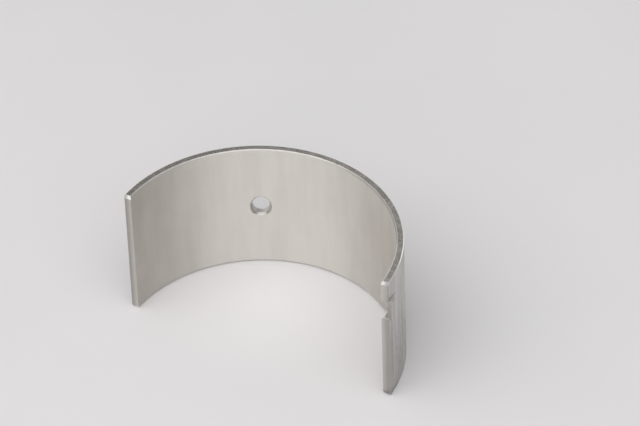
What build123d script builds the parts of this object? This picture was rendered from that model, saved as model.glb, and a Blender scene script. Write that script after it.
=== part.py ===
"""Half shell of a connecting-rod big-end bearing, as it lies loose before it is pressed into its housing.

The bore runs along Z and the origin is on its axis, half way along the shell. The crown is at +Y, the
two joint faces look towards -Y, and the locating tang is at the +X joint face, near the upper end.
"""
import os
from math import cos, degrees, hypot, radians, sin

from build123d import *

# Shell
housing_bore = 92.0  # bore of the rod eye that the shell is pressed into
wall = 2.5  # steel back and bonded lining together
width = 46.0  # along the crankpin
free_spread = 1.3  # how much wider than the housing bore the loose shell springs open
relief_depth = 0.03  # the bore is eased back by this at each joint face
relief_length = 9.0  # and runs out to the plain bore this far round

# Broken edges
bore_chamfer = 0.55  # at both ends of the bore
back_chamfer = 0.3  # at both ends of the back
joint_back_chamfer = 0.3  # where a joint face meets the back
corner_in = 0.6  # where a joint face meets an end face, measured along the end face
corner_down = 1.1  # and down the joint face

# Oil hole, a short slot along the width
oil_hole_angle = 27.0  # round from the crown, away from the tang
oil_hole_diameter = 5.5
oil_hole_stretch = 1.0  # how far its two end arcs stand apart
oil_hole_countersink = 0.7

# Locating tang, pressed out of the wall and sheared free at its two sides
tang_end_gap = 7.4  # from the upper end face
tang_width = 7.4
tang_height = 1.0  # proud of the back
tang_flat = 2.0  # round the shell at full height
tang_length = 5.0  # round the shell to where it runs out on the back
tang_setback = 0.2  # its end lies this far behind the joint face
pocket_depth = 2.1  # what the press leaves in the bore behind the tang
pocket_inset = 0.5  # how much narrower it is than the tang, at each side
pocket_flat = 1.7
pocket_length = 5.4
bend_radius = 0.8  # where the tang and its pocket turn from flat to slope
pocket_mouth_radius = 1.0

# Sizes that follow
outer_radius = (housing_bore + free_spread) / 2
bore_radius = outer_radius - wall
eased_radius = bore_radius + relief_depth
mid_radius = outer_radius - wall / 2
# The back is as long as half the housing bore, so a shell that springs open stops short of a half turn.
joint_angle = 90 * (1 - housing_bore / (2 * outer_radius))
relief_end_angle = joint_angle + degrees(relief_length / bore_radius)
tang_bottom = width / 2 - tang_end_gap - tang_width
pocket_bottom = tang_bottom + pocket_inset
pocket_width = tang_width - 2 * pocket_inset
past_wall = 2 * wall  # how far a cut reaches beyond the wall


def at(radius, angle):
    """Point at this radius and this many degrees round from the +X axis."""
    return Vector(radius * cos(radians(angle)), radius * sin(radians(angle)))


def from_joint(radius, distance):
    """Point at this radius and this far round the back from the joint face that has the tang."""
    return at(radius, joint_angle + degrees(distance / outer_radius))


def axis_distance(edge):
    """How far the middle of an edge lies from the bore's axis."""
    middle = edge @ 0.5
    return hypot(middle.X, middle.Y)


def on_bore(edge):
    """True for an edge that lies on the bore or on its eased ends."""
    return axis_distance(edge) < eased_radius + relief_depth


with BuildPart() as bearing_shell:
    # Wall: a half ring seen along the axis, its bore eased back beside both joint faces
    with BuildSketch(Plane.XY):
        with BuildLine():
            back = CenterArc((0, 0), outer_radius, joint_angle, 180 - 2 * joint_angle)
            bore = CenterArc((0, 0), bore_radius, relief_end_angle, 180 - 2 * relief_end_angle)
            tang_relief = TangentArc(bore @ 0, at(eased_radius, joint_angle), tangent=(bore % 0) * -1)
            plain_relief = TangentArc(bore @ 1, at(eased_radius, 180 - joint_angle), tangent=bore % 1)
            Line(tang_relief @ 1, back @ 0)
            Line(plain_relief @ 1, back @ 1)
        make_face()
    extrude(amount=width / 2, both=True)

    # Broken edges of the two ends, then of the joint faces
    rims = bearing_shell.edges().filter_by(GeomType.CIRCLE)
    chamfer(rims.filter_by(on_bore), bore_chamfer)
    chamfer(rims.filter_by(on_bore, reverse=True), back_chamfer)
    for end in (0, -1):
        end_face = bearing_shell.faces().sort_by(Axis.Z)[end]
        chamfer(end_face.edges().filter_by(GeomType.LINE), corner_in, corner_down, reference=end_face)
    joint_edges = bearing_shell.edges().filter_by(Axis.Z)
    chamfer(joint_edges.filter_by(lambda edge: axis_distance(edge) > mid_radius), joint_back_chamfer)

    # Oil hole, cut outwards from the bore's axis and countersunk on the bore side
    hole_plane = Plane(origin=(0, 0, 0), x_dir=(0, 0, 1), z_dir=at(1, 90 + oil_hole_angle))
    with BuildSketch(hole_plane):
        SlotCenterToCenter(oil_hole_stretch, oil_hole_diameter)
    extrude(amount=outer_radius + past_wall, mode=Mode.SUBTRACT)
    chamfer(bearing_shell.edges(Select.LAST).filter_by(on_bore), oil_hole_countersink)

    # Tang: full height beside the joint face, then a slope down to the back
    with BuildSketch(Plane.XY.offset(tang_bottom)) as tang:
        with BuildLine():
            tang_outline = Polyline(
                from_joint(mid_radius, tang_length),
                from_joint(mid_radius, tang_setback),
                from_joint(outer_radius + tang_height, tang_setback),
                from_joint(outer_radius + tang_height, tang_flat),
                from_joint(outer_radius, tang_length),
                close=True,
            )
        make_face()
        crest = tang_outline.vertices()[3]
        fillet(tang.vertices().sort_by_distance(crest)[0], bend_radius)
    extrude(amount=tang_width)

    # Pocket behind the tang, which also sets the thin wall between them back from the joint face
    with BuildSketch(Plane.XY.offset(pocket_bottom)) as pocket:
        with BuildLine():
            pocket_outline = Polyline(
                from_joint(bore_radius - past_wall, -past_wall),
                from_joint(outer_radius + past_wall, -past_wall),
                from_joint(outer_radius + past_wall, tang_setback),
                from_joint(bore_radius + pocket_depth, tang_setback),
                from_joint(bore_radius + pocket_depth, pocket_flat),
                from_joint(bore_radius, pocket_length),
                from_joint(bore_radius - past_wall, pocket_length),
                close=True,
            )
        make_face()
        heel = pocket_outline.vertices()[4]
        fillet(pocket.vertices().sort_by_distance(heel)[0], bend_radius)
    extrude(amount=pocket_width, mode=Mode.SUBTRACT)
    pocket_middle = from_joint(bore_radius, pocket_length / 2) + Vector(0, 0, pocket_bottom + pocket_width / 2)
    pocket_edges = bearing_shell.edges(Select.LAST).filter_by(on_bore).sort_by_distance(pocket_middle)
    fillet(pocket_edges[:3], pocket_mouth_radius)  # its two sides and its far end, not the joint face

bearing_shell.part.label = "bearing_shell"
os.makedirs("parts", exist_ok=True)
export_step(bearing_shell.part, "parts/bearing_shell.step")
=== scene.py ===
"""A loose bearing shell standing on end on a pale surface, in soft studio light.

Everything is in metres, in the part's frame. The shell keeps its CAD mesh and gets one material, which tells
the bore, the back, the cut faces and the chamfers apart by their normals and places.
"""
from math import cos, pi, radians, sin

import bpy
from mathutils import Matrix, Vector


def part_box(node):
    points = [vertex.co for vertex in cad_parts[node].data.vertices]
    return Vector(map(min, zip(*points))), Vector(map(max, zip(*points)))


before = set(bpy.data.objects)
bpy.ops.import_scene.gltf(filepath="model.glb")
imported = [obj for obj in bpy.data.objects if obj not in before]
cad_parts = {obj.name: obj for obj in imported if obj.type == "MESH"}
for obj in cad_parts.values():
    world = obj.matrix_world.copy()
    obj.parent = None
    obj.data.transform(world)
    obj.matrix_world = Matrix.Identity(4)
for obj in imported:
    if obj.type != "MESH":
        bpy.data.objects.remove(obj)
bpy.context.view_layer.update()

scene = bpy.context.scene
scene.view_settings.view_transform = "Standard"
MM = 0.001

# Camera
CAMERA_AZIMUTH = radians(30.125)
CAMERA_ELEVATION = radians(40.015)
CAMERA_ROLL = radians(-2.088)
CAMERA_DISTANCE = 1.3479
CAMERA_TARGET = Vector((0.0, 0.023, 0.0))
CAMERA_SLIDE = (0.00908, 0.01298)  # of the camera, to its right and up
CAMERA_LENS = 241.34  # in millimetres, as is the sensor
CAMERA_SENSOR = 36.0

# Shell
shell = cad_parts["bearing_shell"]
low_corner, high_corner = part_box("bearing_shell")
FLOOR_Z = low_corner.z
HALF_WIDTH = high_corner.z
BACK_RADIUS = high_corner.y
WALL = 2.5 * MM
BORE_RADIUS = BACK_RADIUS - WALL
MIDDLE_RADIUS = BACK_RADIUS - WALL / 2
HOLE_X = -20.6 * MM
HOLE_REACH = 6.5 * MM  # from the hole's middle to clear of its countersink
EDGE_ROUNDING = 0.12 * MM
MARK_DEPTH = 0.006 * MM

# Colours of the metal, in pairs where one runs into the other
LINING = (0.69, 0.662, 0.622), (0.72, 0.695, 0.655)
STEEL = (0.46, 0.448, 0.432), (0.66, 0.645, 0.622)
# Darker steel, for rolled streaks and for the lower part of the tang's side
STEEL_DARK = (0.38, 0.368, 0.352)
# Painted highlight on the upper back of the tang's side
STEEL_HIGHLIGHT = (0.84, 0.825, 0.80)
END_FACE = (0.47, 0.445, 0.41), (0.71, 0.67, 0.63)
# Painted shade on the end faces away from the tang
END_FACE_SHADE = (0.25, 0.235, 0.22)
# Joint faces: lighter beside the bore, with painted shade towards the back
JOINT_FACE_LIT_AND_SHADED = (0.57, 0.545, 0.51), (0.36, 0.345, 0.325)
JOINT_SCORED = (0.66, 0.645, 0.62)
# Painted highlight on the joint faces above the tang
JOINT_HIGHLIGHT = (0.68, 0.665, 0.64)
# Darker lower part of the tang's side
JOINT_DARK = (0.30, 0.29, 0.275)
# Corner facets: the pale colour on the bore's side is a painted glint
CORNER_AND_GLINT = (0.80, 0.79, 0.77), (0.46, 0.45, 0.435)
CHAMFER = (0.40, 0.385, 0.37), (0.54, 0.525, 0.50)
# Bore chamfer, and its painted highlight line beside the end face
BORE_CHAMFER_AND_HIGHLIGHT = (0.46, 0.44, 0.415), (0.64, 0.625, 0.60)
# Back chamfer: bright as cut steel, and brighter still as a painted highlight
BACK_CHAMFER_AND_HIGHLIGHT = (0.93, 0.92, 0.90)
COUNTERSINK = (0.78, 0.76, 0.73), (0.54, 0.525, 0.50)
HOLE_WALL = (0.62, 0.605, 0.58)
POCKET_SIDE = (0.68, 0.665, 0.64)
# Edges rubbed bright, with a painted highlight
RUBBED_EDGE_AND_HIGHLIGHT = (0.86, 0.845, 0.82)
# Darker mottling at the foot of the tang's side
FOOT_DARK = (0.20, 0.185, 0.165)

# Floor
FLOOR_HALF = 3.0  # half of its side
PAPER = (0.70, 0.69, 0.70), (0.72, 0.705, 0.715)

# Light
SOFTBOX_PLACE = (0.10, -0.42, 0.98)
SOFTBOX_WIDTH = 1.8
SOFTBOX_HEIGHT = 1.2
SOFTBOX_RADIANCE = 1.21  # 1 looks as bright as a white surface
GLOW_PLACE = (0.03, -0.12, 0.29)
GLOW_AIM = (-0.011, 0.026, FLOOR_Z)
GLOW_WATTS = 0.7
GLOW_ANGLE = radians(9.5)
GLOW_LAMP_RADIUS = 0.02
FRONT_WAY = (-0.34, -0.94, 0.0)
REAR_WAY = (0.2, 0.98, 0.0)
SURROUND_LOW = (0.46, 0.46, 0.46), (1.0, 0.995, 0.985)
SURROUND_HIGH = (0.34, 0.34, 0.34), (0.88, 0.875, 0.865)
SURROUND_REAR = (1.0, 0.995, 0.99)


class Graph:
    """Short calls for building a node tree."""

    def __init__(self, owner):
        owner.use_nodes = True
        self.tree = owner.node_tree
        self.tree.nodes.clear()

    def add(self, kind, **settings):
        node = self.tree.nodes.new(kind)
        for name, value in settings.items():
            setattr(node, name, value)
        return node

    def plug(self, value, socket):
        """Links an output to a socket, or writes a plain value on it."""
        if isinstance(value, bpy.types.NodeSocket):
            self.tree.links.new(value, socket)
        else:
            socket.default_value = value

    def math(self, operation, *values):
        node = self.add("ShaderNodeMath", operation=operation)
        for value, socket in zip(values, node.inputs):
            self.plug(value, socket)
        return node.outputs[0]

    def times(self, first, *others):
        """Product of two or more numbers."""
        for other in others:
            first = self.math("MULTIPLY", first, other)
        return first

    def plus(self, first, *others):
        """Sum of two or more numbers."""
        for other in others:
            first = self.math("ADD", first, other)
        return first

    def ramp(self, value, low, high, to_low=0.0, to_high=1.0):
        """Smooth step of a value from one range to another."""
        node = self.add("ShaderNodeMapRange", interpolation_type="SMOOTHSTEP")
        for number, part in enumerate((value, low, high, to_low, to_high)):
            self.plug(part, node.inputs[number])
        return node.outputs[0]

    def mix(self, share, first, second):
        """Mix of two colours, each an output or a plain red, green and blue."""
        node = self.add("ShaderNodeMix", data_type="RGBA")
        self.plug(share, node.inputs[0])
        for colour, socket in ((first, node.inputs[6]), (second, node.inputs[7])):
            self.plug((*colour, 1.0) if isinstance(colour, tuple) else colour, socket)
        return node.outputs[2]

    def blend(self, share, first, second):
        """Mix of two numbers."""
        node = self.add("ShaderNodeMix", data_type="FLOAT")
        self.plug(share, node.inputs[0])
        self.plug(first, node.inputs[2])
        self.plug(second, node.inputs[3])
        return node.outputs[0]

    def split(self, vector):
        """The three parts of a vector."""
        node = self.add("ShaderNodeSeparateXYZ")
        self.plug(vector, node.inputs[0])
        return node.outputs

    def dot(self, first, second):
        node = self.add("ShaderNodeVectorMath", operation="DOT_PRODUCT")
        self.plug(first, node.inputs[0])
        self.plug(second, node.inputs[1])
        return node.outputs["Value"]

    def noise(self, place, scale, detail=3.0, roughness=0.55):
        node = self.add("ShaderNodeTexNoise")
        self.plug(place, node.inputs["Vector"])
        self.plug(scale, node.inputs["Scale"])
        self.plug(detail, node.inputs["Detail"])
        self.plug(roughness, node.inputs["Roughness"])
        return node.outputs["Fac"]

    def streaks(self, across, along, per_metre, seed, detail, roughness=0.55):
        """Noise with its own scale in each of two directions."""
        node = self.add("ShaderNodeCombineXYZ")
        self.plug(self.times(across, per_metre[0]), node.inputs[0])
        self.plug(self.times(along, per_metre[1]), node.inputs[1])
        self.plug(seed, node.inputs[2])
        return self.noise(node.outputs[0], 1.0, detail, roughness)


class ShellSurface:
    """Where a point of the shell lies, what kind of face it is on, and the textures there."""

    def __init__(self, g):
        self.find_place(g)
        self.find_faces(g)
        self.add_textures(g)
        self.find_rubbed_and_highlit_edges(g)

    def find_place(self, g):
        self.place = g.add("ShaderNodeTexCoord").outputs["Object"]
        self.x, self.y, self.z = g.split(self.place)
        self.radius = g.math("SQRT", g.plus(g.times(self.x, self.x), g.times(self.y, self.y)))
        self.round_way = g.times(g.math("ARCTAN2", self.y, self.x), MIDDLE_RADIUS)
        self.from_bore = g.math("SUBTRACT", self.radius, BORE_RADIUS)
        self.from_middle = g.math("ABSOLUTE", self.z)
        self.from_end = g.math("SUBTRACT", HALF_WIDTH, self.from_middle)
        self.tang_side = g.ramp(self.x, 40 * MM, 44 * MM)

    def find_faces(self, g):
        """Masks from the true normal: how far it points away from the axis, and how near to up or down."""
        self.geometry = g.add("ShaderNodeNewGeometry")
        nx, ny, nz = g.split(self.geometry.outputs["True Normal"])
        outward = g.math("DIVIDE", g.plus(g.times(nx, self.x), g.times(ny, self.y)), self.radius)
        self.level = g.math("ABSOLUTE", nz)
        self.on_bore = g.ramp(outward, -0.93, -0.97)
        self.on_back = g.ramp(outward, 0.93, 0.97)
        self.on_end = g.times(g.ramp(self.level, 0.93, 0.97), g.ramp(self.from_end, 1.5 * MM, 0.5 * MM))
        self.through_wall = g.times(g.ramp(outward, -0.30, -0.20), g.ramp(outward, 0.30, 0.20))
        self.on_joint = g.times(self.through_wall, g.ramp(self.level, 0.42, 0.34))
        self.on_bore_chamfer = g.times(g.ramp(outward, -0.5, -0.65), g.ramp(self.level, 0.5, 0.65))
        self.on_back_chamfer = g.times(g.ramp(outward, 0.5, 0.65), g.ramp(self.level, 0.5, 0.65))
        slant = g.times(g.ramp(self.level, 0.38, 0.44), g.ramp(self.level, 0.60, 0.54))
        self.on_corner = g.times(self.through_wall, g.ramp(self.from_end, 1.5 * MM, 0.8 * MM), slant)
        beside_hole = g.math("ABSOLUTE", g.math("SUBTRACT", self.x, HOLE_X))
        near, far = HOLE_REACH - 0.5 * MM, HOLE_REACH
        self.by_hole = g.times(g.ramp(beside_hole, far, near), g.ramp(self.from_middle, far, near))
        in_pocket = g.times(g.ramp(self.x, 38 * MM, 39 * MM), g.ramp(self.z, 13 * MM, 12.5 * MM))
        self.on_pocket_side = g.times(in_pocket, g.ramp(nz, 0.3, 0.6))

    def add_textures(self, g):
        """Noise, drawn out the way the tool or the handling went, and plain noise."""
        round_way, z = self.round_way, self.z
        self.bored = g.streaks(round_way, z, per_metre=(60.0, 5200.0), seed=0.0, detail=4.0)
        self.swept = g.streaks(round_way, z, per_metre=(170.0, 22.0), seed=3.0, detail=2.0)
        self.drawn = g.streaks(round_way, z, per_metre=(520.0, 9.0), seed=7.0, detail=6.0, roughness=0.66)
        self.rolled = g.streaks(round_way, z, per_metre=(210.0, 26.0), seed=11.0, detail=5.0, roughness=0.6)
        self.broached = g.streaks(self.radius, z, per_metre=(5200.0, 60.0), seed=5.0, detail=3.0)
        self.grain = g.noise(self.place, 2300.0, detail=4.0, roughness=0.6)
        self.speck = g.noise(self.place, 620.0, detail=4.0, roughness=0.65)
        self.cloud = g.noise(self.place, 120.0)

    def find_rubbed_and_highlit_edges(self, g):
        """A slightly rounded normal, and an uneven mask of where it departs from the face's own."""
        rounding = g.add("ShaderNodeBevel", samples=6)
        rounding.inputs["Radius"].default_value = EDGE_ROUNDING
        self.rounded_normal = rounding.outputs[0]
        facing = g.dot(self.rounded_normal, self.geometry.outputs["Normal"])
        self.rubbed_and_highlit = g.times(g.ramp(facing, 0.995, 0.93), g.ramp(self.grain, 0.25, 0.6))


def lining_colour(g, s):
    """The bore, with faint upright bands."""
    return g.mix(g.ramp(s.swept, 0.35, 0.65), *LINING)


def steel_colour(g, s, darker_below):
    """The back, streaked most on the tang's side, where a painted highlight pales it from the tang up, and
    darker below.
    """
    handled = g.ramp(s.x, 37 * MM, 44.5 * MM, 0.3, 1.0)
    colour = g.mix(g.blend(handled, 0.5, g.ramp(s.drawn, 0.37, 0.63)), *STEEL)
    colour = g.mix(g.times(g.ramp(s.rolled, 0.46, 0.62), 0.75, handled), colour, STEEL_DARK)
    # Painted highlight: the upper back of the tang's side made paler
    highlit = g.times(g.ramp(s.z, -4 * MM, 11 * MM), g.ramp(s.x, 43.6 * MM, 45.8 * MM))
    colour = g.mix(g.times(highlit, 0.42), colour, STEEL_HIGHLIGHT)
    return g.mix(g.times(darker_below, 0.25), colour, STEEL_DARK)


def joint_colour(g, s, darker_below):
    """The joint faces, with scored lines, painted shade that darkens them away from the bore, and a painted
    highlight above the tang.
    """
    # Painted shade: lighter beside the bore, darker towards the back
    colour = g.mix(g.ramp(s.from_bore, 0.0, WALL), *JOINT_FACE_LIT_AND_SHADED)
    colour = g.mix(g.times(g.ramp(s.broached, 0.5, 0.7), 0.3), colour, JOINT_SCORED)
    # Painted highlight above the tang
    highlit = g.times(g.ramp(s.z, 9 * MM, 20 * MM), s.tang_side)
    colour = g.mix(g.times(highlit, 0.4), colour, JOINT_HIGHLIGHT)
    return g.mix(g.times(darker_below, 0.18), colour, JOINT_DARK)


def end_colour(g, s):
    """The end faces, speckled, with painted shade that darkens them away from the tang."""
    colour = g.mix(g.ramp(s.speck, 0.36, 0.66), *END_FACE)
    # Painted shade: the end faces darker away from the tang
    return g.mix(g.times(g.ramp(s.x, 30 * MM, -20 * MM), 0.4), colour, END_FACE_SHADE)


def chamfer_colour(g, s):
    """The chamfers: the back's is bright, partly as cut steel and partly as a painted highlight, and the
    bore's has an uneven painted highlight line beside the end face.
    """
    colour = g.mix(g.ramp(s.level, 0.30, 0.45), *CHAMFER)
    # Painted highlight: a bright line along the bore's chamfer beside the end face
    line = g.times(g.ramp(s.from_end, 0.40 * MM, 0.22 * MM), g.ramp(s.speck, 0.30, 0.60, 0.5, 1.0))
    colour = g.mix(s.on_bore_chamfer, colour, g.mix(line, *BORE_CHAMFER_AND_HIGHLIGHT))
    # The back's chamfer: partly bright cut steel, partly a painted highlight
    return g.mix(s.on_back_chamfer, colour, BACK_CHAMFER_AND_HIGHLIGHT)


def hole_colour(g, s):
    """The oil hole's countersink, and its wall."""
    countersink = g.mix(g.ramp(s.level, 0.35, 0.60), *COUNTERSINK)
    return g.mix(s.through_wall, countersink, HOLE_WALL)


def metal_colour(g, s):
    """Colour of each kind of face in turn, then of the edges, rubbed bright and given a painted highlight,
    and of the darker mottled foot of the tang's side.
    """
    # Darker towards the bottom on the tang's side
    darker_below = g.times(g.ramp(s.z, 0.0, -12 * MM), s.tang_side)
    colour = g.mix(s.on_end, chamfer_colour(g, s), end_colour(g, s))
    for mask, layer in (
        (s.on_joint, joint_colour(g, s, darker_below)),
        # Corner facets: pale on the bore's side as a painted glint, darker outward
        (s.on_corner, g.mix(g.ramp(s.from_bore, 0.85 * MM, 1.85 * MM), *CORNER_AND_GLINT)),
        (s.by_hole, hole_colour(g, s)),
        (s.on_pocket_side, POCKET_SIDE),
        (s.on_bore, lining_colour(g, s)),
        (s.on_back, steel_colour(g, s, darker_below)),
    ):
        colour = g.mix(mask, colour, layer)

    # The edge between a joint face and the bore gets neither the rubbed brightness nor the painted highlight
    at_bore = g.times(g.ramp(s.from_bore, 0.55 * MM, 0.15 * MM), g.ramp(s.from_end, 0.8 * MM, 1.5 * MM))
    # Edges: partly rubbed bright, partly a painted highlight
    shine = g.times(s.rubbed_and_highlit, g.math("SUBTRACT", 0.6, g.times(at_bore, 0.6)))
    colour = g.mix(shine, colour, RUBBED_EDGE_AND_HIGHLIGHT)
    # Darker mottling at the foot of the tang's side, next to the floor
    foot = g.times(g.ramp(s.z, -19.5 * MM, -21.8 * MM), s.tang_side, g.ramp(s.y, 9 * MM, 4 * MM))
    return g.mix(g.times(foot, g.ramp(s.speck, 0.38, 0.56), 0.7), colour, FOOT_DARK)


def metal_roughness(g, s):
    """Roughness of each kind of face in turn, and of the rubbed edges."""
    rough = g.blend(s.on_end, g.ramp(s.level, 0.30, 0.45, 0.36, 0.46), g.ramp(s.grain, 0.3, 0.7, 0.20, 0.30))
    for mask, layer in (
        (s.on_joint, g.ramp(s.broached, 0.3, 0.7, 0.30, 0.42)),
        (s.on_back_chamfer, 0.24),
        (s.on_corner, 0.30),
        (s.by_hole, 0.42),
        (s.on_bore, g.ramp(s.cloud, 0.35, 0.65, 0.52, 0.58)),
        (s.on_back, g.ramp(s.rolled, 0.35, 0.65, 0.24, 0.36)),
        (s.rubbed_and_highlit, 0.24),
    ):
        rough = g.blend(mask, rough, layer)
    return rough


def metal_normal(g, s):
    """Fine tool marks over the rounded edges."""
    marks = g.plus(
        g.times(s.bored, s.on_bore, 0.5),
        g.times(s.drawn, s.on_back, 1.2),
        g.times(s.grain, s.on_end, 0.9),
        g.times(s.broached, s.on_joint),
    )
    bump = g.add("ShaderNodeBump")
    bump.inputs["Strength"].default_value = 0.6
    bump.inputs["Distance"].default_value = MARK_DEPTH
    g.plug(marks, bump.inputs["Height"])
    g.plug(s.rounded_normal, bump.inputs["Normal"])
    return bump.outputs[0]


def bearing_metal():
    """Satin lining in the bore, plain steel on the back, and machined joint and end faces."""
    material = bpy.data.materials.new("bearing_metal")
    g = Graph(material)
    s = ShellSurface(g)
    shader = g.add("ShaderNodeBsdfPrincipled")
    shader.inputs["Metallic"].default_value = 1.0
    shader.inputs["Anisotropic"].default_value = 0.9
    shader.inputs["Anisotropic Rotation"].default_value = 0.25
    g.plug(g.add("ShaderNodeTangent", direction_type="RADIAL", axis="Z").outputs[0], shader.inputs["Tangent"])
    g.plug(metal_colour(g, s), shader.inputs["Base Color"])
    g.plug(metal_roughness(g, s), shader.inputs["Roughness"])
    g.plug(metal_normal(g, s), shader.inputs["Normal"])
    g.plug(shader.outputs[0], g.add("ShaderNodeOutputMaterial").inputs["Surface"])
    return material


def paper():
    """Pale matt surface under the shell, with a faint unevenness."""
    material = bpy.data.materials.new("floor")
    g = Graph(material)
    place = g.add("ShaderNodeTexCoord").outputs["Object"]
    tone = g.ramp(g.noise(place, 9.0, detail=2.0), 0.3, 0.7)
    shader = g.add("ShaderNodeBsdfPrincipled")
    shader.inputs["Roughness"].default_value = 0.75
    shader.inputs["Specular IOR Level"].default_value = 0.2
    g.plug(g.mix(tone, *PAPER), shader.inputs["Base Color"])
    g.plug(shader.outputs[0], g.add("ShaderNodeOutputMaterial").inputs["Surface"])
    return material


def add_camera():
    """The photograph's viewing angle and framing."""
    azimuth, elevation, roll = CAMERA_AZIMUTH, CAMERA_ELEVATION, CAMERA_ROLL
    back = Vector((sin(azimuth) * cos(elevation), -cos(azimuth) * cos(elevation), sin(elevation)))
    level = Vector((cos(azimuth), sin(azimuth), 0.0))
    upright = back.cross(level)
    right = level * cos(roll) + upright * sin(roll)
    up = upright * cos(roll) - level * sin(roll)
    data = bpy.data.cameras.new("camera")
    data.sensor_width = CAMERA_SENSOR
    data.lens = CAMERA_LENS
    data.clip_start = 0.05
    data.clip_end = 50.0
    camera = bpy.data.objects.new("camera", data)
    place = CAMERA_TARGET + right * CAMERA_SLIDE[0] + up * CAMERA_SLIDE[1] + back * CAMERA_DISTANCE
    turn = Matrix((right, up, back)).transposed().to_4x4()
    camera.matrix_world = Matrix.Translation(place) @ turn
    scene.collection.objects.link(camera)
    scene.camera = camera


def add_floor():
    """A wide flat surface, on which the shell stands."""
    mesh = bpy.data.meshes.new("floor")
    signs = ((-1, -1), (1, -1), (1, 1), (-1, 1))
    mesh.from_pydata([(FLOOR_HALF * x, FLOOR_HALF * y, FLOOR_Z) for x, y in signs], [], [(0, 1, 2, 3)])
    mesh.materials.append(paper())
    floor = bpy.data.objects.new("floor", mesh)
    scene.collection.objects.link(floor)
    return floor


def add_softbox():
    """A wide area light in front and above, aimed at the origin."""
    data = bpy.data.lights.new("softbox_above", "AREA")
    data.shape = "RECTANGLE"
    data.size = SOFTBOX_WIDTH
    data.size_y = SOFTBOX_HEIGHT
    data.energy = SOFTBOX_RADIANCE * pi * SOFTBOX_WIDTH * SOFTBOX_HEIGHT
    light = bpy.data.objects.new("softbox_above", data)
    light.location = SOFTBOX_PLACE
    light.rotation_euler = Vector(SOFTBOX_PLACE).to_track_quat("Z", "Y").to_euler()
    scene.collection.objects.link(light)


def add_glow(floor):
    """A soft spot on the floor alone, for the light that the bore throws there inside the shell."""
    data = bpy.data.lights.new("glow", "SPOT")
    data.energy = GLOW_WATTS
    data.spot_size = GLOW_ANGLE
    data.spot_blend = 1.0
    data.shadow_soft_size = GLOW_LAMP_RADIUS
    light = bpy.data.objects.new("glow", data)
    light.location = GLOW_PLACE
    light.rotation_euler = (Vector(GLOW_PLACE) - Vector(GLOW_AIM)).to_track_quat("Z", "Y").to_euler()
    scene.collection.objects.link(light)
    lit = bpy.data.collections.new("lit by the glow")
    lit.objects.link(floor)
    light.light_linking.receiver_collection = lit


def add_surround():
    """World light: palest in front and to the left and in a low band behind, darker behind and above."""
    world = bpy.data.worlds.new("world")
    scene.world = world
    g = Graph(world)
    way = g.add("ShaderNodeTexCoord").outputs["Generated"]
    upward = g.split(way)[2]
    frontward = g.dot(way, FRONT_WAY)
    low = g.mix(g.ramp(frontward, -1.0, 0.55), *SURROUND_LOW)
    high = g.mix(g.ramp(frontward, -0.6, 0.8), *SURROUND_HIGH)
    tone = g.mix(g.ramp(upward, 0.35, 0.70), low, high)
    low_rear = g.times(g.ramp(g.dot(way, REAR_WAY), 0.90, 0.975), g.ramp(upward, 0.38, 0.16))
    background = g.add("ShaderNodeBackground")
    g.plug(g.mix(low_rear, tone, SURROUND_REAR), background.inputs["Color"])
    g.plug(background.outputs[0], g.add("ShaderNodeOutputWorld").inputs["Surface"])


add_camera()
for slot in shell.material_slots:
    slot.material = bearing_metal()
add_glow(add_floor())
add_surround()
add_softbox()
